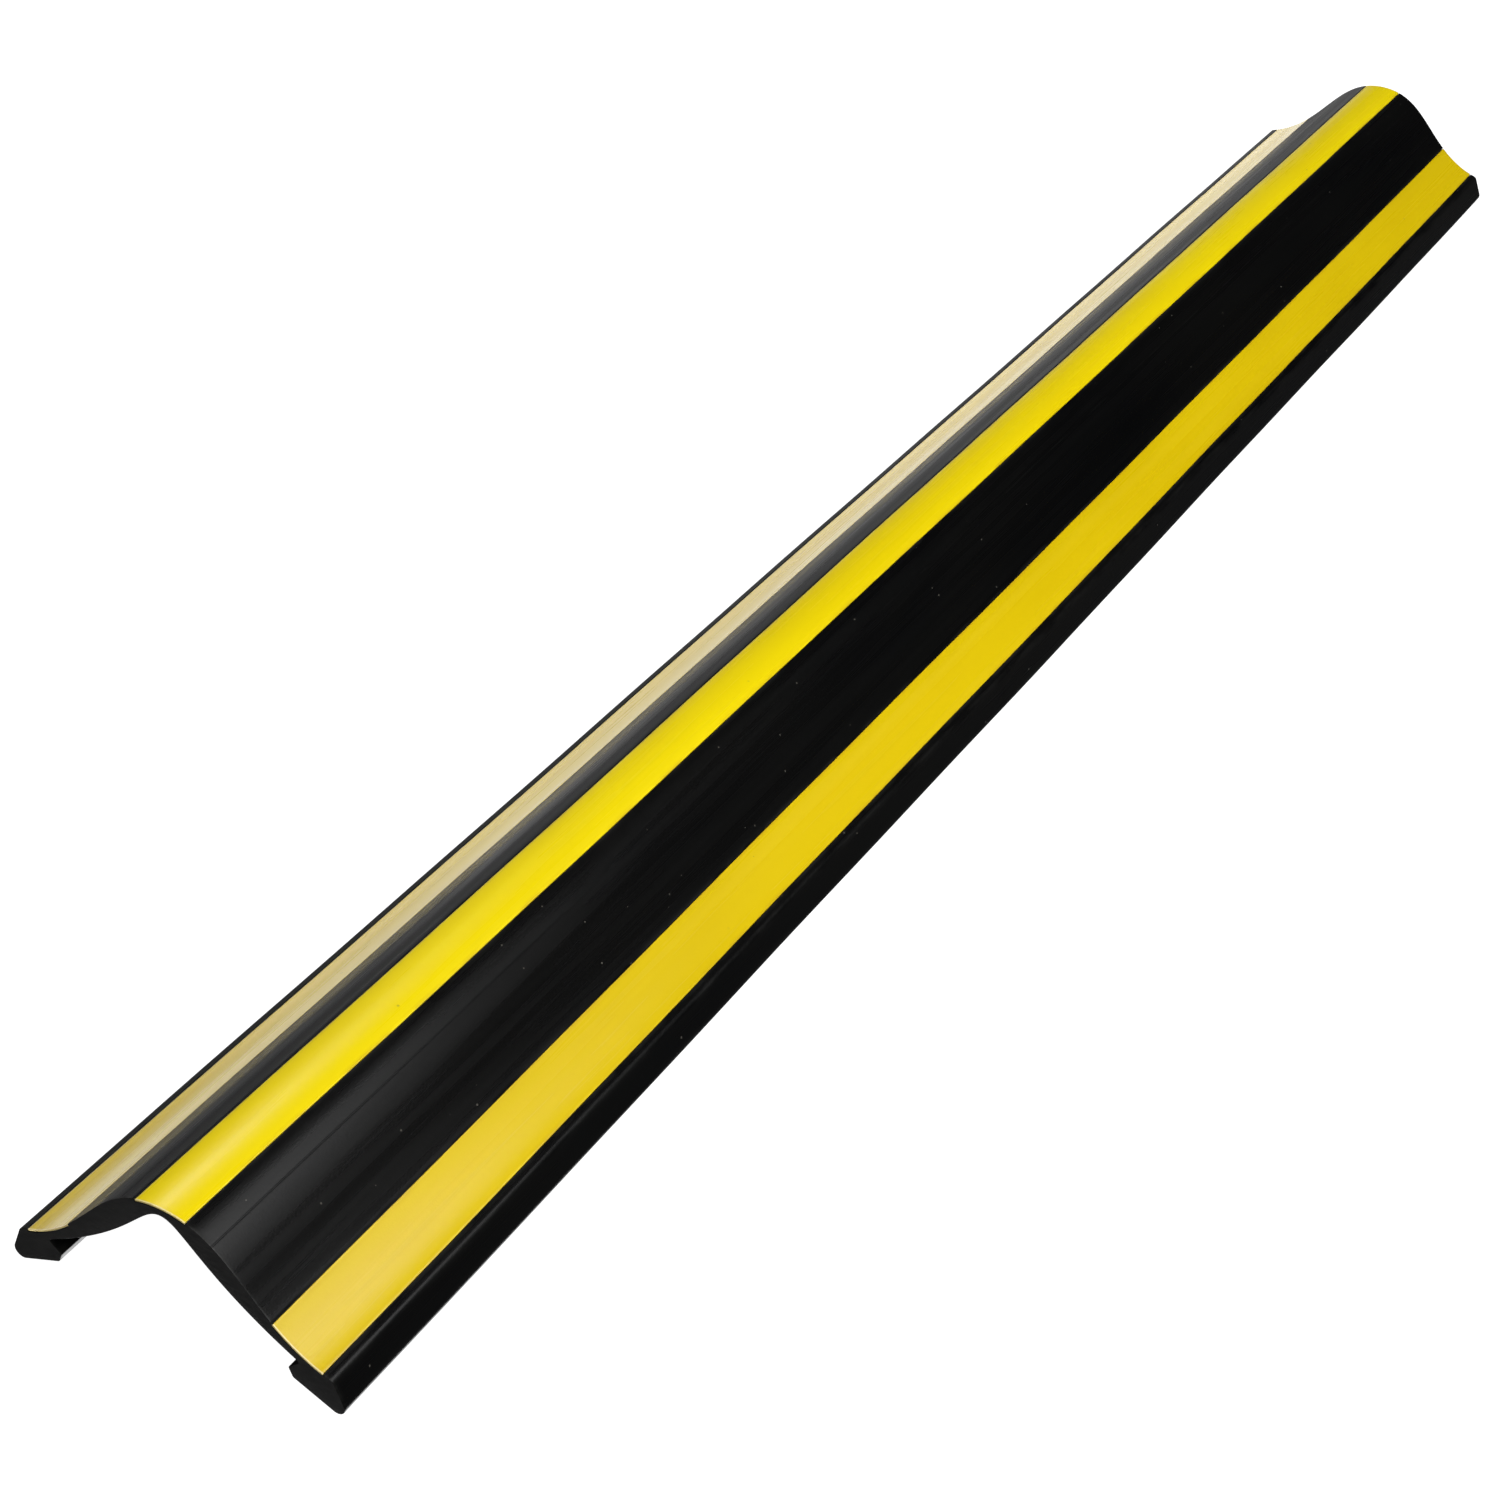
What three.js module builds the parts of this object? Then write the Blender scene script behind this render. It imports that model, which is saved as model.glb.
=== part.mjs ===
// Parking wheel stop: one length of flexible black extrusion, three yellow stripes inlaid flush
// in its outer skin, and a strip of foam tape under each foot.
//
// Millimetres. X runs across the stop, Y along it and Z up. The origin is on the floor, under the
// crest and halfway along. The cross-section is symmetric and the same all the way along, so it
// is drawn once, x across and y up, and extruded.
import * as THREE from 'three';

const degrees = THREE.MathUtils.degToRad;

// Overall sizes.
const LENGTH = 1000;
const FOOT_SPAN = 124; // across the heels, the outermost and lowest edges of the two feet
const HEIGHT = 50.4; // floor to crest

// Outer skin: on each side one cubic curve, from the level crest down to the brim of the foot.
// A pull is how far a curve keeps to the direction that it starts or ends in.
const CREST_PULL = 26.4;
const BRIM_PULL = 30;
const BRIM_SLOPE = degrees(16);
const BRIM_HEIGHT = 12.7; // floor to the brim edge, where the skin meets the heel face
const BRIM_EDGE_RADIUS = 1.2;

// Arch hollow: on each side one cubic curve, from under the crest down to the foot's hinge.
const CREST_WALL = 3.2;
const HOLLOW_CREST_PULL = 7.6;
const HOLLOW_HINGE_PULL = 37;
const HOLLOW_HINGE_SLOPE = degrees(28);

// Feet: wedges whose soles rise towards the middle until the stop is pressed down flat.
const FOOT_TILT = degrees(23);
const HEEL_ANGLE = degrees(45); // between the sole and the heel face
const HEEL_RADIUS = 3;
const SOLE_WIDTH = 15.3; // flat of the sole, from the heel's round to the toe
const TOE_HEIGHT = 3.8; // face at the foot's inner end, parallel to the heel face
const TOE_EDGE_RADIUS = 0.6;

// Hinge: the thin skin above a round-ended notch, where the foot bends to lie flat.
const HINGE_WALL = 3.5;
const HINGE_INSET = 12.2; // along the skin, from the brim edge to the hinge
const NOTCH_GAP = 1.8; // between the toe and the hinge, at the notch's closed end
const NOTCH_ROUND = 1; // how far the closed end is pulled outwards

// Stripes: yellow inlays that run the full length.
const STRIPE_THICKNESS = 0.6;
const CREST_STRIPE_WIDTH = 18.5;
const FOOT_STRIPE_WIDTH = 20;
const BRIM_BORDER = 3.5; // black left between a foot stripe and the brim edge

// Tapes: one on the flat of each sole, a little shorter than the profile.
const TAPE_WIDTH = 10;
const TAPE_THICKNESS = 0.8;
const TAPE_SETBACK = 6; // from each end of the profile

// Clearance of a stripe in its groove, and of a tape on its sole.
const BOND_GAP = 0.3;

// Chords that stand for curves: the longest one, and the fewest in one curve.
const CURVE_STEP = 1.5;
const CURVE_CHORDS = 4;

const BLACK_RUBBER = { color: 0x0d0d0e, roughness: 0.5, metalness: 0 };
const YELLOW_INLAY = { color: 0xe6c619, roughness: 0.42, metalness: 0 };
const TAPE_FOAM = { color: 0x4a4b4e, roughness: 0.85, metalness: 0 };

// The unit direction at an angle, anticlockwise from straight out to the right.
function direction(angle) {
  return new THREE.Vector2(Math.cos(angle), Math.sin(angle));
}

// The point a distance away from another in a unit direction.
function offset(point, towards, distance) {
  return point.clone().addScaledVector(towards, distance);
}

// The same point on the left of the stop.
function mirrored(point) {
  return new THREE.Vector2(-point.x, point.y);
}

// Right foot, worked out from the heel's round, which touches the floor.
const heelCentre = new THREE.Vector2(FOOT_SPAN / 2 - HEEL_RADIUS, HEEL_RADIUS);
const heelNormal = Math.PI / 2 - HEEL_ANGLE - FOOT_TILT;
const soleNormal = -Math.PI / 2 - FOOT_TILT;
const heelUpwards = direction(heelNormal + Math.PI / 2);
const soleInwards = direction(soleNormal - Math.PI / 2);
const heelFoot = offset(heelCentre, direction(heelNormal), HEEL_RADIUS);
const soleStart = offset(heelCentre, direction(soleNormal), HEEL_RADIUS);
const toeBottom = offset(soleStart, soleInwards, SOLE_WIDTH);
const toeTip = offset(toeBottom, heelUpwards, TOE_HEIGHT);
const brimEdge = offset(heelFoot, heelUpwards, (BRIM_HEIGHT - heelFoot.y) / heelUpwards.y);

// Right half of the outer skin.
const skin = new THREE.CubicBezierCurve(
  new THREE.Vector2(0, HEIGHT),
  new THREE.Vector2(CREST_PULL, HEIGHT),
  offset(brimEdge, direction(-BRIM_SLOPE), -BRIM_PULL),
  brimEdge,
);
const skinLength = skin.getLength();

// The point at a distance along the skin from the crest, and at a depth under it. Distances to
// the left of the crest are negative.
function skinPoint(distance, depth = 0) {
  const share = Math.abs(distance) / skinLength;
  const outwards = skin.getTangentAt(share);
  const inwards = new THREE.Vector2(outwards.y, -outwards.x);
  const point = offset(skin.getPointAt(share), inwards, depth);
  return distance < 0 ? mirrored(point) : point;
}

// Points along the skin from one distance to another, at one depth.
function skinRun(from, to, depth = 0) {
  const chords = Math.ceil(Math.abs(to - from) / CURVE_STEP);
  const place = (index) => from + ((to - from) * index) / chords;
  return Array.from({ length: chords + 1 }, (_, index) => skinPoint(place(index), depth));
}

// Points along a path after its start.
function pathRun(path) {
  return path.curves.flatMap((curve) => {
    const chords = Math.max(CURVE_CHORDS, Math.ceil(curve.getLength() / CURVE_STEP));
    return curve.getSpacedPoints(curve.isLineCurve ? 1 : chords).slice(1);
  });
}

// Goes straight towards a corner and rounds it off in the direction of the next point.
function lineToRounded(path, corner, next, radius) {
  const arriving = corner.clone().sub(path.currentPoint).normalize();
  const leaving = next.clone().sub(corner).normalize();
  const start = offset(corner, arriving, -radius);
  const end = offset(corner, leaving, radius);
  path.lineTo(start.x, start.y);
  path.quadraticCurveTo(corner.x, corner.y, end.x, end.y);
}

// Right half of everything under the skin: brim edge, heel, sole, toe, notch and arch hollow.
function undersidePath() {
  const skinEnd = skinPoint(skinLength - BRIM_EDGE_RADIUS);
  const heelTop = offset(brimEdge, heelUpwards, -BRIM_EDGE_RADIUS);
  const hinge = skinPoint(skinLength - HINGE_INSET, HINGE_WALL);
  const notchFloor = offset(hinge, heelUpwards, -NOTCH_GAP);
  const notchOutwards = notchFloor.clone().sub(toeTip).normalize();
  const floorPull = offset(notchFloor, notchOutwards, NOTCH_ROUND);
  const hollowDownhill = direction(-HOLLOW_HINGE_SLOPE);
  const roofPull = offset(hinge, hollowDownhill, NOTCH_ROUND);
  const hingePull = offset(hinge, hollowDownhill, -HOLLOW_HINGE_PULL);
  const hollowTop = HEIGHT - CREST_WALL;

  const path = new THREE.Path();
  path.moveTo(skinEnd.x, skinEnd.y);
  path.quadraticCurveTo(brimEdge.x, brimEdge.y, heelTop.x, heelTop.y);
  path.lineTo(heelFoot.x, heelFoot.y);
  // The heel's round has a vertex where it is outermost and another where it meets the floor.
  for (const [from, to] of [[heelNormal, 0], [0, -Math.PI / 2], [-Math.PI / 2, soleNormal]]) {
    path.absarc(heelCentre.x, heelCentre.y, HEEL_RADIUS, from, to, true);
  }
  lineToRounded(path, toeBottom, toeTip, TOE_EDGE_RADIUS);
  lineToRounded(path, toeTip, notchFloor, TOE_EDGE_RADIUS);
  path.lineTo(notchFloor.x, notchFloor.y);
  path.bezierCurveTo(floorPull.x, floorPull.y, roofPull.x, roofPull.y, hinge.x, hinge.y);
  path.bezierCurveTo(hingePull.x, hingePull.y, HOLLOW_CREST_PULL, hollowTop, 0, hollowTop);
  return path;
}

// Where each stripe lies along the skin.
const footStripeOuter = skinLength - BRIM_BORDER;
const footStripeInner = footStripeOuter - FOOT_STRIPE_WIDTH;
const stripes = [
  { name: 'left_foot_stripe', from: -footStripeOuter, to: -footStripeInner },
  { name: 'crest_stripe', from: -CREST_STRIPE_WIDTH / 2, to: CREST_STRIPE_WIDTH / 2 },
  { name: 'right_foot_stripe', from: footStripeInner, to: footStripeOuter },
];

// The whole skin from left to right, let in for each stripe's groove.
function groovedSkin() {
  const points = [];
  let reached = BRIM_EDGE_RADIUS - skinLength;
  for (const { from, to } of stripes) {
    points.push(...skinRun(reached, from - BOND_GAP));
    points.push(...skinRun(from - BOND_GAP, to + BOND_GAP, STRIPE_THICKNESS + BOND_GAP));
    reached = to + BOND_GAP;
  }
  points.push(...skinRun(reached, skinLength - BRIM_EDGE_RADIUS));
  return points;
}

// A closed outline extruded to the profile's full length, from the far end forwards.
function extrusion(name, outline, finish) {
  const settings = { depth: LENGTH, bevelEnabled: false };
  const geometry = new THREE.ExtrudeGeometry(new THREE.Shape(outline), settings);
  const mesh = new THREE.Mesh(geometry, new THREE.MeshStandardMaterial(finish));
  mesh.name = name;
  return mesh;
}

function blackProfile() {
  const right = pathRun(undersidePath());
  const left = right.slice(0, -1).reverse().map(mirrored);
  return extrusion('black_profile', [...groovedSkin(), ...right, ...left], BLACK_RUBBER);
}

function stripe({ name, from, to }) {
  const outline = [...skinRun(from, to), ...skinRun(to, from, STRIPE_THICKNESS)];
  return extrusion(name, outline, YELLOW_INLAY);
}

// A tape centred on the flat of the sole; side is 1 for the right foot and -1 for the left.
function adhesiveTape(name, side) {
  const size = [TAPE_WIDTH, TAPE_THICKNESS, LENGTH - 2 * TAPE_SETBACK];
  const soleMiddle = offset(soleStart, soleInwards, SOLE_WIDTH / 2);
  const centre = offset(soleMiddle, direction(soleNormal), BOND_GAP + TAPE_THICKNESS / 2);
  const mesh = new THREE.Mesh(new THREE.BoxGeometry(...size), new THREE.MeshStandardMaterial(TAPE_FOAM));
  mesh.name = name;
  mesh.position.set(side * centre.x, centre.y, LENGTH / 2);
  mesh.rotation.z = -side * FOOT_TILT;
  return mesh;
}

// The section's y becomes Z, and the extrusion runs from the far end, at +Y, to the near one.
const wheelStop = new THREE.Group();
wheelStop.rotation.x = Math.PI / 2;
wheelStop.position.y = LENGTH / 2;
wheelStop.add(blackProfile());
wheelStop.add(...stripes.map(stripe));
wheelStop.add(adhesiveTape('left_adhesive_tape', -1));
wheelStop.add(adhesiveTape('right_adhesive_tape', 1));

export default wheelStop;
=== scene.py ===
import bpy
import numpy as np
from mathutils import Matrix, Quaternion, Vector


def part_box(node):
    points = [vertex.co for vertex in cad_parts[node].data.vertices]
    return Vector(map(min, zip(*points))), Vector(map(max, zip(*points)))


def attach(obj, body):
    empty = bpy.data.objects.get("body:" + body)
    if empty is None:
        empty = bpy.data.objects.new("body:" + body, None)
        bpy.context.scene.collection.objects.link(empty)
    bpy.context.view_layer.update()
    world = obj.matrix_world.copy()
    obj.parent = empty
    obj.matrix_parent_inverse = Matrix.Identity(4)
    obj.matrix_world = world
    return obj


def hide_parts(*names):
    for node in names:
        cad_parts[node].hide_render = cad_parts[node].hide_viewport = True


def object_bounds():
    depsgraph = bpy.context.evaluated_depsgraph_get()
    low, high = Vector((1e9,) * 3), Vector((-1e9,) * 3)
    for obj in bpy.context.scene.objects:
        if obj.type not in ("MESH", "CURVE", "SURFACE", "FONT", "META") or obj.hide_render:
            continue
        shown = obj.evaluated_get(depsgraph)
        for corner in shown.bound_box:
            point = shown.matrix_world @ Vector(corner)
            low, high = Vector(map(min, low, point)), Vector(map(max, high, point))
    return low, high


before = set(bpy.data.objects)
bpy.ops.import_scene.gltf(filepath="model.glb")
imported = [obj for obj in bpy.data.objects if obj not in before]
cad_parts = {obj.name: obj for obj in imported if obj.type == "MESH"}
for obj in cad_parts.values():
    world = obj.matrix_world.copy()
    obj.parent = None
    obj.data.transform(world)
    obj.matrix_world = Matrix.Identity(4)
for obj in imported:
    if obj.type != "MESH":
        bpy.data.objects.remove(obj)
cad_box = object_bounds()

# ---- Black body ---------------------------------------------------------------------------------
# One length of flexible black rubber, pushed through a die and sawn off square at both ends. The
# die leaves fine drawn lines along it and one raised hair line on the right flank. Two thick feet
# hang on thin hinges beside wedge-shaped notches, and three shallow grooves wait for the stripes.
MM = 0.001
body_low, body_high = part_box("black_profile")
FOOT_SPAN = body_high.x - body_low.x
HEIGHT = cad_box[1].z
HALF_LENGTH = body_high.y
CREST_PULL = 26.4 * MM
BRIM_PULL = 30 * MM
BRIM_SLOPE = 16
BRIM_HEIGHT = 12.7 * MM
BRIM_ROUND = 1.2 * MM
CREST_WALL = 3.2 * MM
HOLLOW_CREST_PULL = 7.6 * MM
HOLLOW_HINGE_PULL = 37 * MM
HOLLOW_HINGE_SLOPE = 28
FOOT_TILT = 23
HEEL_ANGLE = 45
HEEL_ROUND = 3 * MM
SOLE_WIDTH = 15.3 * MM
TOE_HEIGHT = 3.8 * MM
TOE_ROUND = 0.6 * MM
HINGE_WALL = 3.5 * MM
HINGE_INSET = 12.2 * MM
NOTCH_GAP = 1.8 * MM
NOTCH_ROUND = 1 * MM
BRIM_BORDER = 3.5 * MM
FOOT_STRIPE_WIDTH = 20 * MM
CREST_STRIPE_WIDTH = 18.5 * MM
STRIPE_THICKNESS = 0.6 * MM
BOND_GAP = 0.3 * MM
GROOVE_LIP = 0.12 * MM
HAIR_LINE_PLACE = 19.5 * MM
HAIR_LINE_HEIGHT = 0.08 * MM
HAIR_LINE_WIDTH = 0.26 * MM
SAWN_EDGE_ROUND = 0.1 * MM
SKIN_STEP = 0.8 * MM
SKIN_POINTS = 4001
MIDDLE_RINGS = 121
END_STEPS = (0.5 * MM, 1 * MM, 2 * MM, 5 * MM)
SHARP_ANGLE = 34


def towards(angle):
    """Unit vector (cos a, sin a), a in degrees from straight out to the right."""
    turn = np.radians(angle)
    return np.array([np.cos(turn), np.sin(turn)])


def bezier(controls, count):
    """Bezier curve at count even values of t from 0 to 1: neighbouring control points are blended
    as (1 - t) A + t B, again and again, until one point is left."""
    t = np.linspace(0, 1, count)[:, None, None]
    level = np.repeat(np.array(controls, float)[None], count, axis=0)
    while level.shape[1] > 1:
        level = (1 - t) * level[:, :-1] + t * level[:, 1:]
    return level[:, 0]


def run_length(points):
    """Distance along a polyline to each of its points: the running sum of its chords."""
    return np.concatenate([[0], np.cumsum(np.linalg.norm(np.diff(points, axis=0), axis=1))])


heel_centre = np.array([FOOT_SPAN / 2 - HEEL_ROUND, HEEL_ROUND])
heel_normal = 90 - HEEL_ANGLE - FOOT_TILT
sole_normal = -90 - FOOT_TILT
heel_upwards = towards(heel_normal + 90)
sole_inwards = towards(sole_normal - 90)
heel_foot = heel_centre + HEEL_ROUND * towards(heel_normal)
sole_start = heel_centre + HEEL_ROUND * towards(sole_normal)
toe_bottom = sole_start + SOLE_WIDTH * sole_inwards
toe_tip = toe_bottom + TOE_HEIGHT * heel_upwards
brim_edge = heel_foot + heel_upwards * (BRIM_HEIGHT - heel_foot[1]) / heel_upwards[1]

skin_curve = bezier(
    [(0, HEIGHT), (CREST_PULL, HEIGHT), brim_edge - BRIM_PULL * towards(-BRIM_SLOPE), brim_edge],
    SKIN_POINTS,
)
skin_way = run_length(skin_curve)
skin_length = skin_way[-1]
skin_run = np.gradient(skin_curve, axis=0)
skin_outwards = np.stack([-skin_run[:, 1], skin_run[:, 0]], axis=1)
skin_outwards /= np.linalg.norm(skin_outwards, axis=1)[:, None]
foot_stripe_outer = skin_length - BRIM_BORDER
foot_stripe_inner = foot_stripe_outer - FOOT_STRIPE_WIDTH
stripe_spans = [
    (-foot_stripe_outer, -foot_stripe_inner),
    (-CREST_STRIPE_WIDTH / 2, CREST_STRIPE_WIDTH / 2),
    (foot_stripe_inner, foot_stripe_outer),
]


def skin(way, depth=0.0):
    """Points of the outer skin: the curve at distance |way| from the crest, mirrored where way is
    negative, moved against its outward normal by depth."""
    reach = np.abs(way)
    side = np.where(way < 0, -1.0, 1.0)
    across = np.interp(reach, skin_way, skin_curve[:, 0]) - depth * np.interp(
        reach, skin_way, skin_outwards[:, 0]
    )
    up = np.interp(reach, skin_way, skin_curve[:, 1]) - depth * np.interp(
        reach, skin_way, skin_outwards[:, 1]
    )
    return np.stack([side * across, up], axis=1)


def hair_line(way):
    """Height of the hair line: a bell, exp(-(distance / width)^2), about its place on the skin."""
    return HAIR_LINE_HEIGHT * np.exp(-(((way - HAIR_LINE_PLACE) / HAIR_LINE_WIDTH) ** 2))


def land(start, end):
    """Black skin from one groove's lip to the next, in even steps, closer at the hair line."""
    even = np.linspace(start, end, int(np.ceil((end - start) / SKIN_STEP)) + 1)
    fine = HAIR_LINE_PLACE + np.linspace(-3, 3, 13) * HAIR_LINE_WIDTH
    clear = even[np.abs(even - HAIR_LINE_PLACE) > 3.5 * HAIR_LINE_WIDTH]
    inside = fine[(fine > start) & (fine < end)]
    way = np.sort(np.concatenate([clear, inside]))
    return skin(way, -hair_line(way))


def groove(start, end):
    """Groove section: a small round at each lip, straight walls and a floor parallel to the skin."""
    left, right = start - BOND_GAP, end + BOND_GAP
    floor = STRIPE_THICKNESS + BOND_GAP
    way = np.linspace(left, right, int(np.ceil((right - left) / SKIN_STEP)) + 1)
    round_in = np.array([0.3, 0.0]) * GROOVE_LIP
    round_down = np.array([0.3, 1.0]) * GROOVE_LIP
    return np.concatenate([
        skin(left - round_in, round_down),
        skin(way, floor),
        skin(right + round_in[::-1], round_down[::-1]),
    ])


def without_repeats(outline, closest=0.01 * MM):
    """The outline less each point that lies within the closest distance of the one before it."""
    gap = np.linalg.norm(outline - np.roll(outline, 1, axis=0), axis=1)
    return outline[gap > closest]


def mirrored(points):
    """The same points on the left of the stop, in the opposite order: x becomes -x."""
    return points[::-1] * np.array([-1.0, 1.0])


def rounded(before, corner, after, radius, count=6):
    """A corner rounded by a quadratic curve that starts and ends a radius away from it."""
    arriving = (corner - before) / np.linalg.norm(corner - before)
    leaving = (after - corner) / np.linalg.norm(after - corner)
    return bezier([corner - radius * arriving, corner, corner + radius * leaving], count)


hinge = skin(np.array([skin_length - HINGE_INSET]), HINGE_WALL)[0]
notch_floor = hinge - NOTCH_GAP * heel_upwards
notch_outwards = (notch_floor - toe_tip) / np.linalg.norm(notch_floor - toe_tip)
hollow_downhill = towards(-HOLLOW_HINGE_SLOPE)
hollow_top = np.array([0, HEIGHT - CREST_WALL])
underside = np.concatenate([
    bezier(
        [
            skin(np.array([skin_length - BRIM_ROUND]))[0],
            brim_edge,
            brim_edge - BRIM_ROUND * heel_upwards,
        ],
        9,
    ),
    np.linspace(brim_edge - BRIM_ROUND * heel_upwards, heel_foot, 9),
    heel_centre + HEEL_ROUND * towards(np.linspace(heel_normal, 0, 5)).T,
    heel_centre + HEEL_ROUND * towards(np.linspace(0, -90, 11)).T,
    heel_centre + HEEL_ROUND * towards(np.linspace(-90, sole_normal, 5)).T,
    np.linspace(sole_start, toe_bottom - 2 * TOE_ROUND * sole_inwards, 9),
    rounded(sole_start, toe_bottom, toe_tip, TOE_ROUND),
    rounded(toe_bottom, toe_tip, notch_floor, TOE_ROUND),
    bezier(
        [
            notch_floor,
            notch_floor + NOTCH_ROUND * notch_outwards,
            hinge + NOTCH_ROUND * hollow_downhill,
            hinge,
        ],
        9,
    ),
    bezier(
        [
            hinge,
            hinge - HOLLOW_HINGE_PULL * hollow_downhill,
            hollow_top + np.array([HOLLOW_CREST_PULL, 0]),
            hollow_top,
        ],
        65,
    ),
])
edges = [-(skin_length - BRIM_ROUND)]
for start, end in stripe_spans:
    edges += [start - BOND_GAP - GROOVE_LIP, end + BOND_GAP + GROOVE_LIP]
edges.append(skin_length - BRIM_ROUND)
lands = [land(start, end) for start, end in zip(edges[::2], edges[1::2])]
grooves = [groove(start, end) for start, end in stripe_spans]
over = [lands[0]]
for cut, top in zip(grooves, lands[1:]):
    over += [cut, top]
body_outline = without_repeats(np.concatenate([*over, underside, mirrored(underside)]))


# The waves of a soft extrusion: size, length along the stop, slant across it and phase.
SIDEWAYS_WAVES = ((0.16 * MM, 0.41, 22, 0.6), (0.07 * MM, 0.127, 35, 2.1))
UPWARD_WAVE = (0.22 * MM, 0.53, 18, 1.3)


def wave(points, size, length, slant, phase):
    """A sine along the stop at each point: size sin(2 pi y / length + slant x + phase)."""
    return size * np.sin(2 * np.pi * points[..., 1] / length + slant * points[..., 0] + phase)


def waver(points):
    """The slight wander of a soft extrusion, the same for all that is bonded together: x gains
    the sideways waves, and z the upward wave times its height over the floor."""
    moved = points.copy()
    for sideways in SIDEWAYS_WAVES:
        moved[..., 0] += wave(points, *sideways)
    moved[..., 2] += np.clip(points[..., 2] / HEIGHT, 0, 1) * wave(points, *UPWARD_WAVE)
    return moved


CORNER_SPREAD = 0.7 * MM
FULL_CORNER = 70
END_WEAR_REACH = 0.8 * MM


def corner_wear(outline):
    """How much each point lies on an outer corner, from 0 to 1: the outline's outward turning in
    degrees, summed under a bell exp(-(distance / spread)^2), over the turning of a full corner."""
    back = outline - np.roll(outline, 1, axis=0)
    ahead = np.roll(outline, -1, axis=0) - outline
    cross = back[:, 1] * ahead[:, 0] - back[:, 0] * ahead[:, 1]
    turning = np.degrees(np.arctan2(cross, (back * ahead).sum(axis=1)))
    way = np.cumsum(np.linalg.norm(back, axis=1))
    apart = np.abs(way[:, None] - way[None])
    apart = np.minimum(apart, way[-1] - apart)
    return np.clip(np.exp(-((apart / CORNER_SPREAD) ** 2)) @ turning / FULL_CORNER, 0, 1)


def extruded(name, outline, reach, edge_round, end_steps, finishes):
    """Closed solid: section point i is pulled inwards by inset j and carried to station j along Y,
    P(i, j) = (x_i - inset_j n_i, y_j). At each end inset_j = r (1 - sin a) where y is r (1 - cos a)
    from the end, which rounds the sawn edge, and a flat face closes it."""
    angle = np.linspace(0, np.pi / 2, 4)
    round_in = edge_round * (1 - np.sin(angle))
    round_back = edge_round * (1 - np.cos(angle))
    near = -reach + np.concatenate([round_back, end_steps])
    middle = np.linspace(near[-1], -near[-1], MIDDLE_RINGS)[1:-1]
    station = np.concatenate([near, middle, -near[::-1]])
    pulled = np.concatenate([round_in, np.zeros(len(end_steps))])
    inset = np.concatenate([pulled, np.zeros(len(middle)), pulled[::-1]])
    back = outline - np.roll(outline, 1, axis=0)
    ahead = np.roll(outline, -1, axis=0) - outline
    back /= np.linalg.norm(back, axis=1)[:, None]
    ahead /= np.linalg.norm(ahead, axis=1)[:, None]
    normal = np.stack([-(back + ahead)[:, 1], (back + ahead)[:, 0]], axis=1)
    normal /= np.maximum((normal**2).sum(axis=1) / 2, 0.5)[:, None]
    section = outline[None] - inset[:, None, None] * normal[None]
    count, rings = len(outline), len(station)
    place = np.empty((rings, count, 3))
    place[..., 0] = section[..., 0]
    place[..., 1] = station[:, None]
    place[..., 2] = section[..., 1]
    place = waver(place)
    first = np.arange(count)
    ring = np.arange(rings - 1)[:, None] * count
    after = (first + 1) % count
    sides = np.stack([ring + first, ring + after, ring + after + count, ring + first + count], -1)
    faces = sides.reshape(-1, 4).tolist()
    faces += [first[::-1].tolist(), (first + (rings - 1) * count).tolist()]
    mesh = bpy.data.meshes.new(name)
    mesh.from_pydata(place.reshape(-1, 3).tolist(), [], faces)
    smooth = np.ones(len(faces), bool)
    smooth[-2:] = False
    mesh.polygons.foreach_set("use_smooth", smooth)
    slot_of = np.zeros(len(faces), np.int32)
    slot_of[-2:] = 1
    for finish in finishes:
        mesh.materials.append(finish)
    mesh.polygons.foreach_set("material_index", slot_of)
    mesh.set_sharp_from_angle(angle=np.radians(SHARP_ANGLE))
    from_end = reach - np.abs(station)
    end_wear = np.exp(-((from_end / END_WEAR_REACH) ** 2))
    wear = 1 - (1 - corner_wear(outline))[None] * (1 - end_wear)[:, None]
    mesh.attributes.new("wear", "FLOAT", "POINT").data.foreach_set(
        "value", wear.astype(np.float32).ravel()
    )
    mesh.update()
    piece = bpy.data.objects.new(name, mesh)
    bpy.context.scene.collection.objects.link(piece)
    return piece


def node_group(name, inputs, outputs):
    """An empty shader group with named number inputs and outputs, and its two end nodes."""
    group = bpy.data.node_groups.new(name, "ShaderNodeTree")
    for label, value in inputs.items():
        socket = group.interface.new_socket(label, in_out="INPUT", socket_type="NodeSocketFloat")
        socket.default_value = value
    for label in outputs:
        group.interface.new_socket(label, in_out="OUTPUT", socket_type="NodeSocketFloat")
    return group, group.nodes.new("NodeGroupInput"), group.nodes.new("NodeGroupOutput")


def noise(tree, vector, scale, detail=3.0, rough=0.5):
    """A noise node on the given coordinates; scale is a number or a socket."""
    node = tree.nodes.new("ShaderNodeTexNoise")
    node.inputs["Detail"].default_value = detail
    node.inputs["Roughness"].default_value = rough
    tree.links.new(vector, node.inputs["Vector"])
    if isinstance(scale, bpy.types.NodeSocket):
        tree.links.new(scale, node.inputs["Scale"])
    else:
        node.inputs["Scale"].default_value = scale
    return node.outputs["Fac"]


def arithmetic(tree, operation, *terms):
    """A Math node; each term is a number or a socket."""
    node = tree.nodes.new("ShaderNodeMath")
    node.operation = operation
    for index, term in enumerate(terms):
        if isinstance(term, bpy.types.NodeSocket):
            tree.links.new(term, node.inputs[index])
        else:
            node.inputs[index].default_value = term
    return node.outputs[0]


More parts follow.
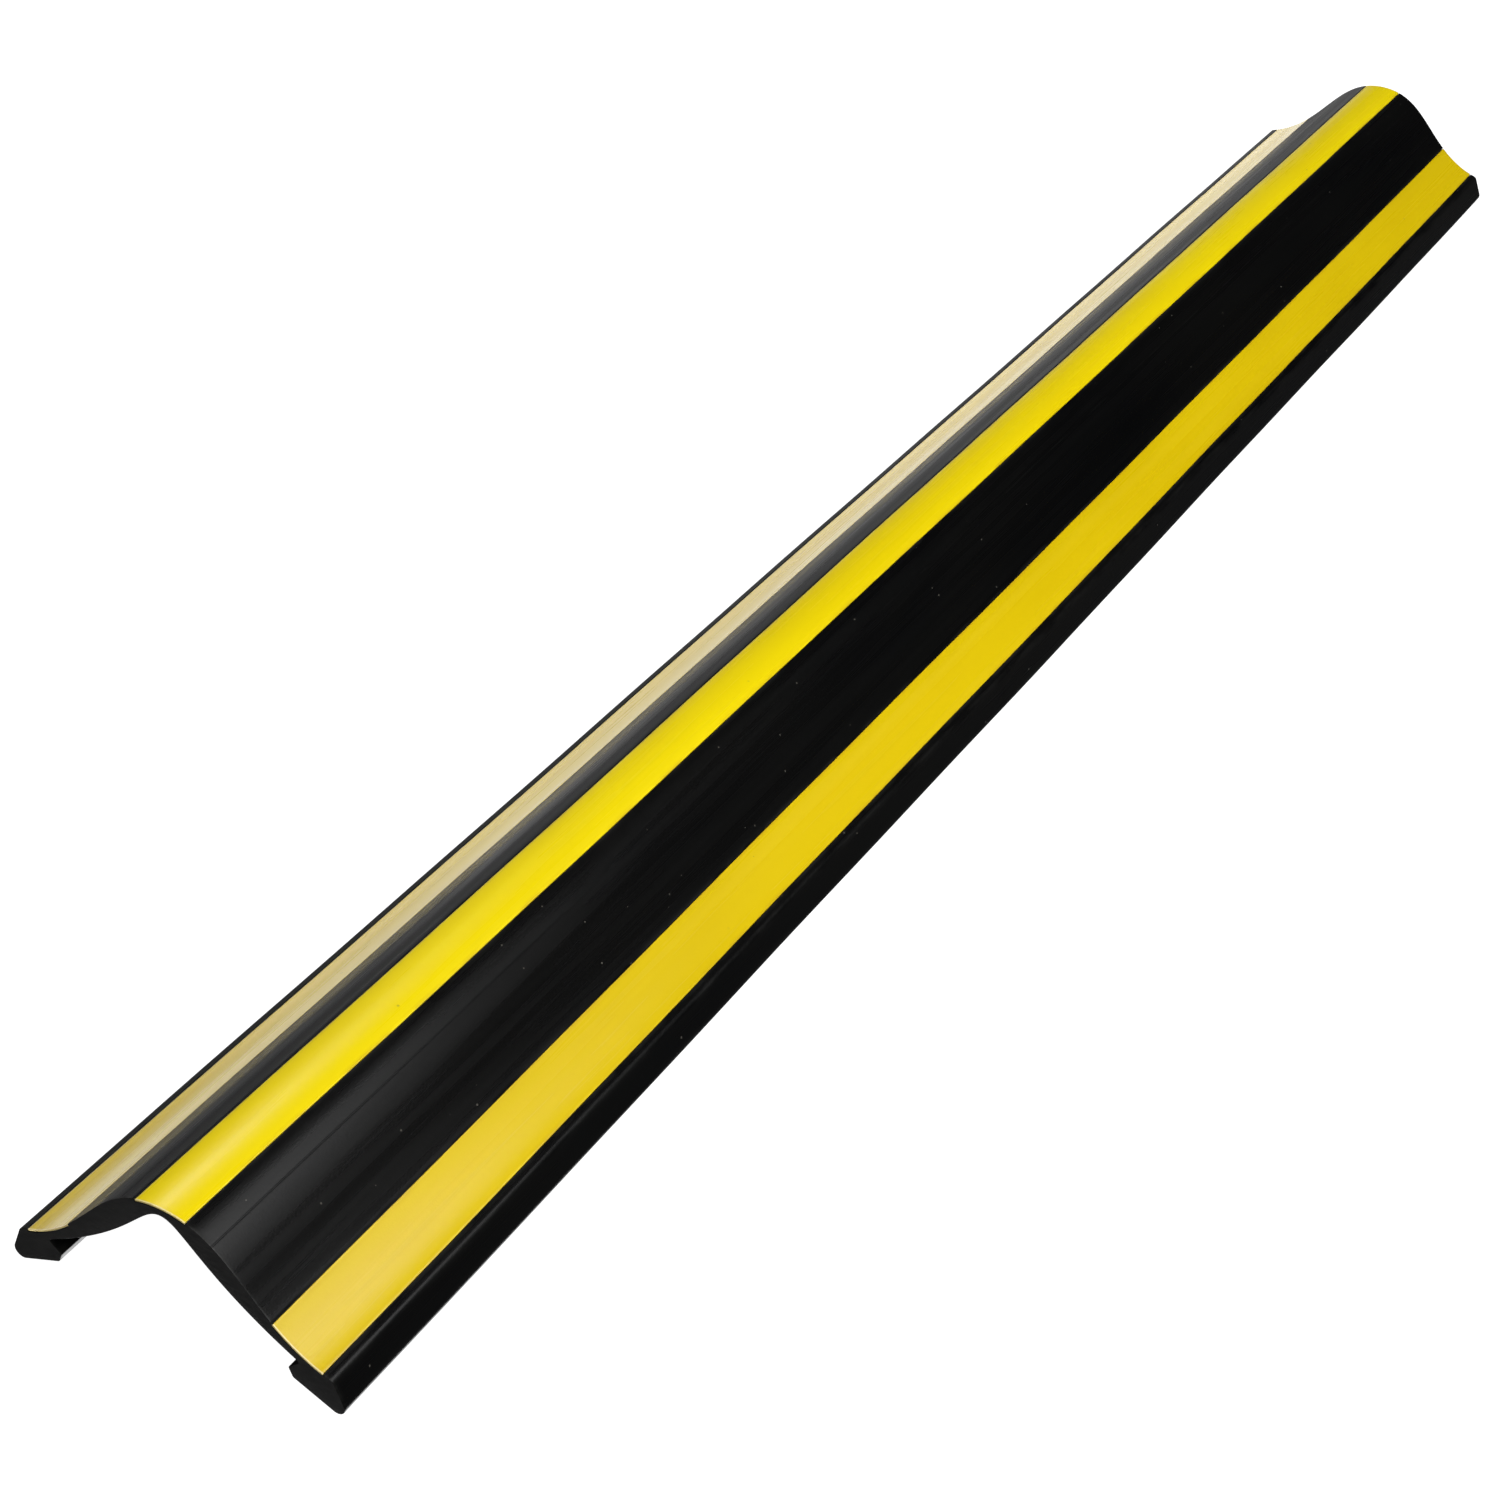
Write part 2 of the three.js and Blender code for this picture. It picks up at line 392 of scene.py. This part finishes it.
def band(tree, value, low, high, to_low=0.0, to_high=1.0):
    """A smooth step: value from low to high becomes to_low to to_high."""
    node = tree.nodes.new("ShaderNodeMapRange")
    node.interpolation_type = "SMOOTHSTEP"
    node.inputs["From Min"].default_value = low
    node.inputs["From Max"].default_value = high
    node.inputs["To Min"].default_value = to_low
    node.inputs["To Max"].default_value = to_high
    tree.links.new(value, node.inputs["Value"])
    return node.outputs["Result"]


def stretched(tree, scale):
    """Object coordinates, scaled along each axis."""
    coordinates = tree.nodes.new("ShaderNodeTexCoord")
    mapping = tree.nodes.new("ShaderNodeMapping")
    mapping.inputs["Scale"].default_value = scale
    tree.links.new(coordinates.outputs["Object"], mapping.inputs["Vector"])
    return mapping.outputs["Vector"]


def mixed(tree, share, colour_a, colour_b):
    """A colour that goes from a to b with share; each colour is three numbers or a socket."""
    node = tree.nodes.new("ShaderNodeMix")
    node.data_type = "RGBA"
    tree.links.new(share, node.inputs["Factor"])
    for socket, colour in ((node.inputs[6], colour_a), (node.inputs[7], colour_b)):
        if isinstance(colour, bpy.types.NodeSocket):
            tree.links.new(colour, socket)
        else:
            socket.default_value = (*colour, 1)
    return node.outputs[2]


# What the die leaves: long streaks drawn along Y, and the fine grain of the compound.
drawn, drawn_in, drawn_out = node_group(
    "drawn_surface", {"Streak Scale": 300.0, "Grain Scale": 1500.0}, ("Streaks", "Grain", "Patches")
)
along = stretched(drawn, (1, 0.018, 1))
drawn.links.new(
    noise(drawn, along, drawn_in.outputs["Streak Scale"], 4.0, 0.6), drawn_out.inputs["Streaks"]
)
drawn.links.new(
    noise(drawn, stretched(drawn, (1, 1, 1)), drawn_in.outputs["Grain Scale"], 2.0),
    drawn_out.inputs["Grain"],
)
drawn.links.new(
    noise(drawn, stretched(drawn, (1, 0.25, 1)), 26.0, 3.0), drawn_out.inputs["Patches"]
)

# Pale dust: sparse round specks, one in each of the few cells that drew a light colour.
dust, dust_in, dust_out = node_group("dust_specks", {"Scale": 260.0, "Size": 0.12}, ("Dust",))
cells = dust.nodes.new("ShaderNodeTexVoronoi")
cells.inputs["Randomness"].default_value = 1.0
dust.links.new(stretched(dust, (1, 1, 1)), cells.inputs["Vector"])
dust.links.new(dust_in.outputs["Scale"], cells.inputs["Scale"])
speck = arithmetic(dust, "LESS_THAN", cells.outputs["Distance"], dust_in.outputs["Size"])
chosen = band(dust, cells.outputs["Color"], 0.72, 0.8)
dust.links.new(arithmetic(dust, "MULTIPLY", speck, chosen), dust_out.inputs["Dust"])

# Rubbing: the wear attribute, broken up by noise. On the black skin it also places a painted
# highlight on the outer edges.
rub, rub_in, rub_out = node_group("rubbed_edges", {"Scale": 180.0}, ("Rubbed",))
worn = rub.nodes.new("ShaderNodeAttribute")
worn.attribute_name = "wear"
uneven = noise(rub, stretched(rub, (1, 0.2, 1)), rub_in.outputs["Scale"], 4.0, 0.6)
rub.links.new(
    arithmetic(rub, "MULTIPLY", worn.outputs["Fac"], band(rub, uneven, 0.35, 0.65)),
    rub_out.inputs["Rubbed"],
)


def material(name, specular):
    """A material with its Principled shader, its constant specular level set on the shader."""
    made = bpy.data.materials.new(name)
    made.use_nodes = True
    shader = made.node_tree.nodes["Principled BSDF"]
    shader.inputs["Specular IOR Level"].default_value = specular
    return made, made.node_tree, shader


def use_group(tree, group, **values):
    """A group placed in a material with its own input values."""
    node = tree.nodes.new("ShaderNodeGroup")
    node.node_tree = group
    for label, value in values.items():
        node.inputs[label.replace("_", " ")].default_value = value
    return node.outputs


def bumped(tree, shader, height, distance, strength):
    """A Bump node that feeds the shader's normal."""
    node = tree.nodes.new("ShaderNodeBump")
    node.inputs["Strength"].default_value = strength
    node.inputs["Distance"].default_value = distance
    tree.links.new(height, node.inputs["Height"])
    tree.links.new(node.outputs["Normal"], shader.inputs["Normal"])


SKIN_TONES = ((0.0012, 0.0013, 0.0015), (0.0024, 0.0024, 0.0023))
RUBBED_AND_HIGHLIGHT_TONE = (0.022, 0.022, 0.02)
DUST_TONE = (0.11, 0.105, 0.09)
SAWN_TONES = ((0.018, 0.018, 0.0182), (0.032, 0.0315, 0.031))
PORE_TONE = (0.05, 0.048, 0.044)

rubber, tree, shader = material("black_rubber_skin", 0.2)
surface = use_group(tree, drawn, Streak_Scale=260.0, Grain_Scale=1400.0)
specks = use_group(tree, dust, Scale=210.0, Size=0.075)
rubbed = use_group(tree, rub, Scale=220.0)
tone = mixed(tree, band(tree, surface["Patches"], 0.3, 0.7), *SKIN_TONES)
# Lighter on outer edges and at the sawn ends: partly rubbing, partly a painted highlight.
tone = mixed(tree, arithmetic(tree, "MULTIPLY", rubbed["Rubbed"], 0.5), tone, RUBBED_AND_HIGHLIGHT_TONE)
tone = mixed(tree, arithmetic(tree, "MULTIPLY", specks["Dust"], 0.8), tone, DUST_TONE)
tree.links.new(tone, shader.inputs["Base Color"])
gloss = arithmetic(tree, "MULTIPLY_ADD", band(tree, surface["Streaks"], 0.3, 0.7), 0.09, 0.24)
gloss = arithmetic(tree, "MULTIPLY_ADD", rubbed["Rubbed"], 0.2, gloss)
tree.links.new(gloss, shader.inputs["Roughness"])
relief = arithmetic(tree, "MULTIPLY_ADD", surface["Streaks"], 0.7, surface["Grain"])
bumped(tree, shader, relief, 0.1 * MM, 0.22)

sawn, tree, shader = material("black_rubber_sawn", 0.25)
saw_lines = noise(tree, stretched(tree, (0.25, 1, 1)), 900.0, 3.0, 0.7)
pores = use_group(tree, dust, Scale=520.0, Size=0.16)
tone = mixed(tree, band(tree, saw_lines, 0.3, 0.7), *SAWN_TONES)
tone = mixed(tree, arithmetic(tree, "MULTIPLY", pores["Dust"], 0.5), tone, PORE_TONE)
tree.links.new(tone, shader.inputs["Base Color"])
tree.links.new(band(tree, saw_lines, 0.2, 0.8, 0.6, 0.85), shader.inputs["Roughness"])
bumped(tree, shader, saw_lines, 0.2 * MM, 0.5)

body = extruded(
    "rubber_body", body_outline, HALF_LENGTH, SAWN_EDGE_ROUND, END_STEPS, (rubber, sawn)
)
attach(body, "root")
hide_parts("black_profile")

# ---- Yellow stripes -----------------------------------------------------------------------------
# Three flat bands of yellow compound, laid in the grooves while the body is warm and sawn off with
# it. Each is flush with the skin, shows a thin dark joint on both sides and a pale edge at its ends,
# which is a painted highlight. The feet's bands are a darker copy of the crest's yellow: painted
# shade.
STRIPE_EDGE_ROUND = 0.1 * MM
END_HIGHLIGHT_REACH = 0.7 * MM
END_HIGHLIGHT_FULL = 0.2 * MM
# The feet's tones are a darker copy of the crest's: painted shade for the feet's lower light.
LIT_CREST_TONES = ((0.87, 0.67, 0.0008), (0.935, 0.74, 0.002))
SHADED_FOOT_TONES = ((0.675, 0.48, 0.0006), (0.745, 0.54, 0.0015))
HAZE_TONE = (0.9, 0.72, 0.03)
STAIN_TONE = (0.5, 0.3, 0.01)
END_HIGHLIGHT_TONE = (0.93, 0.8, 0.42)
GRIME_TONE = (0.34, 0.26, 0.03)
CUT_TONES = ((0.78, 0.55, 0.12), (0.92, 0.8, 0.4))


def stripe_outline(start, end):
    """Band section: its top follows the skin and its underside lies one thickness below, with
    the top corners rounded in three steps."""
    way = np.linspace(start, end, int(np.ceil((end - start) / SKIN_STEP)) + 1)
    corner = np.array([0.0, 0.3, 1.0]) * STRIPE_EDGE_ROUND
    return np.concatenate([
        skin(start + corner, corner[::-1]),
        skin(way[1:-1]),
        skin(end - corner[::-1], corner),
        skin(way[::-1], STRIPE_THICKNESS),
    ])


def yellow(name, deep, bright):
    """Yellow compound: patches of two tones, a faint pale haze along the streaks, fine grain. The
    long edges are stained darker by the joint, and a pale band at the sawn ends is a painted
    highlight."""
    made, tree, shader = material(name, 0.4)
    surface = use_group(tree, drawn, Streak_Scale=200.0, Grain_Scale=1100.0)
    specks = use_group(tree, dust, Scale=120.0, Size=0.06)
    rubbed = use_group(tree, rub, Scale=300.0)
    tone = mixed(tree, band(tree, surface["Patches"], 0.3, 0.7), deep, bright)
    haze = band(tree, surface["Streaks"], 0.5, 0.8, 0, 0.12)
    tone = mixed(tree, haze, tone, HAZE_TONE)
    tone = mixed(tree, arithmetic(tree, "MULTIPLY", rubbed["Rubbed"], 0.5), tone, STAIN_TONE)
    place = tree.nodes.new("ShaderNodeSeparateXYZ")
    tree.links.new(stretched(tree, (1, 1, 1)), place.inputs[0])
    along = arithmetic(tree, "ABSOLUTE", place.outputs["Y"])
    # A pale band near each sawn end: a painted highlight.
    painted_end_highlight = band(tree, along, HALF_LENGTH - END_HIGHLIGHT_REACH, HALF_LENGTH - END_HIGHLIGHT_FULL, 0, 0.75)
    tone = mixed(tree, painted_end_highlight, tone, END_HIGHLIGHT_TONE)
    tone = mixed(tree, arithmetic(tree, "MULTIPLY", specks["Dust"], 0.55), tone, GRIME_TONE)
    tree.links.new(tone, shader.inputs["Base Color"])
    gloss = arithmetic(tree, "MULTIPLY_ADD", band(tree, surface["Streaks"], 0.3, 0.7), 0.07, 0.24)
    tree.links.new(gloss, shader.inputs["Roughness"])
    relief = arithmetic(tree, "MULTIPLY_ADD", surface["Streaks"], 0.6, surface["Grain"])
    bumped(tree, shader, relief, 0.1 * MM, 0.22)
    return made


# One compound in two copies: the crest's lit, the feet's darker as painted shade.
lit_crest_yellow = yellow("lit_crest_yellow", *LIT_CREST_TONES)
shaded_foot_yellow = yellow("shaded_foot_yellow", *SHADED_FOOT_TONES)

cut_yellow, tree, shader = material("yellow_sawn", 0.3)
fibres = noise(tree, stretched(tree, (1, 1, 1)), 2400.0, 3.0, 0.6)
tone = mixed(tree, band(tree, fibres, 0.3, 0.7), *CUT_TONES)
tree.links.new(tone, shader.inputs["Base Color"])
tree.links.new(band(tree, fibres, 0.2, 0.8, 0.5, 0.8), shader.inputs["Roughness"])
bumped(tree, shader, fibres, 0.1 * MM, 0.4)

stripe_names = ("left_foot", "crest", "right_foot")
for label, span in zip(stripe_names, stripe_spans):
    finish = lit_crest_yellow if label == "crest" else shaded_foot_yellow
    stripe = extruded(
        f"{label}_inlay",
        stripe_outline(*span),
        HALF_LENGTH,
        STRIPE_EDGE_ROUND,
        END_STEPS,
        (finish, cut_yellow),
    )
    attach(stripe, "root")
    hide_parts(f"{label}_stripe")

# ---- Foam tapes ---------------------------------------------------------------------------------
# One strip of double-sided foam tape under each sole, cut a little shorter than the body. The foam
# shows at its edges; the face that meets the floor still carries its ribbed grey release film.
TAPE_WIDTH = 10 * MM
TAPE_THICKNESS = 0.8 * MM
TAPE_EDGE_ROUND = 0.15 * MM
TAPE_END_STEPS = END_STEPS[:3]
FOAM_TONES = ((0.03, 0.03, 0.032), (0.085, 0.086, 0.09))
FILM_TONES = ((0.19, 0.2, 0.21), (0.3, 0.31, 0.32))

tape_foam, tree, shader = material("tape_foam", 0.3)
cell_noise = noise(tree, stretched(tree, (1, 1, 1)), 2600.0, 3.0, 0.7)
film = tree.nodes.new("ShaderNodeAttribute")
film.attribute_name = "film"
film_share = film.outputs["Fac"]
foam_tone = mixed(tree, band(tree, cell_noise, 0.35, 0.65), *FOAM_TONES)
scuffs = noise(tree, stretched(tree, (1, 0.15, 1)), 420.0, 3.0, 0.6)
film_tone = mixed(tree, band(tree, scuffs, 0.3, 0.7), *FILM_TONES)
tree.links.new(mixed(tree, film_share, foam_tone, film_tone), shader.inputs["Base Color"])
foam_gloss = band(tree, cell_noise, 0.2, 0.8, 0.75, 0.95)
film_gloss = arithmetic(tree, "MULTIPLY_ADD", film_share, -0.45, foam_gloss)
tree.links.new(film_gloss, shader.inputs["Roughness"])
film_ribs = tree.nodes.new("ShaderNodeTexWave")
film_ribs.bands_direction = "Y"
film_ribs.inputs["Scale"].default_value = 100.0
film_ribs.inputs["Distortion"].default_value = 0.6
tree.links.new(stretched(tree, (1, 1, 1)), film_ribs.inputs["Vector"])
ribs_here = arithmetic(tree, "MULTIPLY", film_ribs.outputs["Fac"], film_share)
tape_relief = arithmetic(tree, "MULTIPLY_ADD", ribs_here, 1.2, cell_noise)
bumped(tree, shader, tape_relief, 0.2 * MM, 0.7)


def tape_outline(side):
    """Rounded rectangle, width by thickness: each corner is a quarter circle of the edge round. It
    lies along the sole, the bond gap away from it."""
    arc = np.radians(np.linspace(0, 90, 5))
    quarter = TAPE_EDGE_ROUND * np.stack([np.sin(arc), np.cos(arc)], axis=1)
    half = np.array([TAPE_WIDTH, TAPE_THICKNESS]) / 2 - TAPE_EDGE_ROUND
    local = np.concatenate([
        half + quarter,
        half * (1, -1) + quarter[::-1] * (1, -1),
        -half - quarter,
        half * (-1, 1) + quarter[::-1] * (-1, 1),
    ])
    middle = (sole_start + toe_bottom) / 2
    centre = middle + (BOND_GAP + TAPE_THICKNESS / 2) * towards(sole_normal)
    placed = centre + local[:, :1] * -sole_inwards - local[:, 1:] * towards(sole_normal)
    return placed if side > 0 else mirrored(placed)


def film_mask(tape, side):
    """One on the points of the face that meets the floor, nought elsewhere: how far each point lies
    below the tape's middle, along the sole's normal, against half the thickness."""
    flat = np.empty(len(tape.data.vertices) * 3)
    tape.data.vertices.foreach_get("co", flat)
    across = flat.reshape(-1, 3)[:, [0, 2]] * (side, 1)
    middle = (sole_start + toe_bottom) / 2
    depth = (across - middle) @ towards(sole_normal) - BOND_GAP
    return (depth > TAPE_THICKNESS * 0.9).astype(float)


for label, side in (("left", -1), ("right", 1)):
    node = f"{label}_adhesive_tape"
    tape_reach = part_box(node)[1].y
    tape = extruded(
        f"{label}_foam_tape",
        without_repeats(tape_outline(side)),
        tape_reach,
        TAPE_EDGE_ROUND,
        TAPE_END_STEPS,
        (tape_foam, tape_foam),
    )
    mask = tape.data.attributes.new("film", "FLOAT", "POINT")
    mask.data.foreach_set("value", film_mask(tape, side))
    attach(tape, "root")
    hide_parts(node)

# ---- Studio -------------------------------------------------------------------------------------
# A wide pale floor under soft boxes. The floor glows for the camera alone, so that it is plain
# white without lighting the rubber, and from below it is clear.
FLOOR_HALF = 15.0
FLOOR_DROP = 0.05 * MM
corners = np.array([(-1, -1, 0), (1, -1, 0), (1, 1, 0), (-1, 1, 0)]) * FLOOR_HALF
floor_mesh = bpy.data.meshes.new("floor")
floor_mesh.from_pydata(corners.tolist(), [], [(0, 1, 2, 3)])
floor = bpy.data.objects.new("floor", floor_mesh)
floor.location.z = -FLOOR_DROP
bpy.context.scene.collection.objects.link(floor)
paper = bpy.data.materials.new("pale_floor")
paper.use_nodes = True
tree = paper.node_tree
tree.nodes.clear()
output = tree.nodes.new("ShaderNodeOutputMaterial")
seen = tree.nodes.new("ShaderNodeBsdfDiffuse")
seen.inputs["Color"].default_value = (0.35, 0.35, 0.35, 1)
glow = tree.nodes.new("ShaderNodeEmission")
glow.inputs["Color"].default_value = (1, 1, 1, 1)
glow.inputs["Strength"].default_value = 1.0
bounced = tree.nodes.new("ShaderNodeBsdfDiffuse")
bounced.inputs["Color"].default_value = (0.08, 0.08, 0.08, 1)
light_path = tree.nodes.new("ShaderNodeLightPath")
geometry = tree.nodes.new("ShaderNodeNewGeometry")
clear = tree.nodes.new("ShaderNodeBsdfTransparent")
bright = tree.nodes.new("ShaderNodeAddShader")
by_ray = tree.nodes.new("ShaderNodeMixShader")
by_side = tree.nodes.new("ShaderNodeMixShader")
tree.links.new(seen.outputs[0], bright.inputs[0])
tree.links.new(glow.outputs[0], bright.inputs[1])
tree.links.new(light_path.outputs["Is Camera Ray"], by_ray.inputs["Fac"])
tree.links.new(bounced.outputs[0], by_ray.inputs[1])
tree.links.new(bright.outputs[0], by_ray.inputs[2])
tree.links.new(geometry.outputs["Backfacing"], by_side.inputs["Fac"])
tree.links.new(by_ray.outputs[0], by_side.inputs[1])
tree.links.new(clear.outputs[0], by_side.inputs[2])
tree.links.new(by_side.outputs[0], output.inputs["Surface"])
floor_mesh.materials.append(paper)

# The air is pale for the camera, and nearly dark where the rubber mirrors it, to keep it black.
world = bpy.data.worlds.new("studio")
bpy.context.scene.world = world
world.use_nodes = True
tree = world.node_tree
backdrop = tree.nodes["Background"]
light_path = tree.nodes.new("ShaderNodeLightPath")
air = tree.nodes.new("ShaderNodeMix")
air.data_type = "RGBA"
air.inputs[6].default_value = (0.02, 0.02, 0.02, 1)
air.inputs[7].default_value = (0.9, 0.9, 0.9, 1)
tree.links.new(light_path.outputs["Is Camera Ray"], air.inputs["Factor"])
tree.links.new(air.outputs[2], backdrop.inputs["Color"])


def soft_light(name, place, aim, width, height, radiance):
    """A rectangular soft box at a place, facing an aim point, with an even radiance."""
    light = bpy.data.lights.new(name, "AREA")
    light.shape = "RECTANGLE"
    light.size = width
    light.size_y = height
    light.energy = radiance * np.pi * width * height
    lamp = bpy.data.objects.new(name, light)
    bpy.context.scene.collection.objects.link(lamp)
    lamp.location = place
    lamp.rotation_euler = (Vector(aim) - Vector(place)).to_track_quat("-Z", "Y").to_euler()
    lamp.visible_camera = False
    return lamp


def only_for(collection_name, piece_names):
    """A collection of the named pieces, for a light that reaches nothing else."""
    group = bpy.data.collections.new(collection_name)
    for piece_name in piece_names:
        group.objects.link(bpy.data.objects[piece_name])
    return group


# Boxes overhead and in front: the crest and the right foot.
soft_light("far_overhead_box", (-0.88, 0.34, 1.25), (-0.88, 0.34, 0.0), 0.5, 0.4, 5.5)
soft_light("right_overhead_box", (1.0, -0.025, 1.2), (0.9, -0.025, 0.0), 1.1, 1.05, 4.6)
soft_light("high_front_box", (1.0, -2.2, 3.2), (0.0, 0.1, 0.0), 1.6, 1.2, 8.7)
soft_light("right_far_box", (1.9, 0.0, 1.7), (0.0, 0.1, 0.0), 0.9, 0.7, 6.5)

# Weak fills for the near end: the sawn face and the right flank.
soft_light("right_end_card", (0.55, -0.4, 0.2), (0.0, -0.4, 0.0), 0.45, 0.3, 0.06)
soft_light("front_fill", (0.3, -1.9, 0.9), (0.0, 0.0, 0.0), 1.2, 0.8, 1.2)

# A low panel and two cards on the floor: the grey sheen on the left flank.
soft_light("far_left_panel", (-1.9, 1.7, 0.28), (0.0, 0.0, 0.1), 3.2, 0.5, 0.75)
soft_light("low_left_card", (-0.16, 0.5, 0.002), (-0.16, 0.5, 1.0), 0.17, 1.5, 0.3)
soft_light("low_left_near_card", (-0.16, -0.5, 0.002), (-0.16, -0.5, 1.0), 0.17, 0.5, 0.15)

# Brighter ones of the same kind, for the left foot's stripe alone: its pale wash.
left_foot_only = only_for("left_foot_only", ["left_foot_inlay"])
for foot_light in (
    soft_light("left_foot_panel", (-1.5, 2.0, 0.3), (0.0, 0.0, 0.1), 2.6, 0.6, 1.95),
    soft_light("left_foot_card", (-0.132, 0.15, 0.002), (-0.132, 0.15, 1.0), 0.136, 1.4, 1.35),
    soft_light("left_foot_strip", (-0.069, 0.1, 0.002), (-0.069, 0.1, 1.0), 0.01, 1.3, 6.0),
):
    foot_light.light_linking.receiver_collection = left_foot_only

# A box below the floor, which doesn't shade it: the hollow, the soles and the tapes.
all_pieces = only_for(
    "stop_pieces",
    [
        "rubber_body",
        "crest_inlay",
        "left_foot_inlay",
        "right_foot_inlay",
        "left_foam_tape",
        "right_foam_tape",
    ],
)
under_box = soft_light("under_box", (0.0, 0.0, -1.6), (0.0, 0.0, 0.0), 1.6, 1.6, 3.0)
under_box.light_linking.receiver_collection = all_pieces
under_box.light_linking.blocker_collection = all_pieces

CAMERA_PLACE = Vector((0.43073, -0.92709, 0.62261))
CAMERA_AIM = Vector((-0.00862, -0.15177, 0.0))
CAMERA_ROLL = 1.541
camera_data = bpy.data.cameras.new("camera")
camera_data.sensor_width = 36
camera_data.lens = 68.17
camera = bpy.data.objects.new("camera", camera_data)
bpy.context.scene.collection.objects.link(camera)
look = (CAMERA_AIM - CAMERA_PLACE).to_track_quat("-Z", "Y")
roll = Quaternion((0, 0, 1), np.radians(CAMERA_ROLL))
camera.location = CAMERA_PLACE
camera.rotation_euler = (look @ roll).to_euler()
bpy.context.scene.camera = camera
bpy.context.scene.view_settings.view_transform = "Standard"
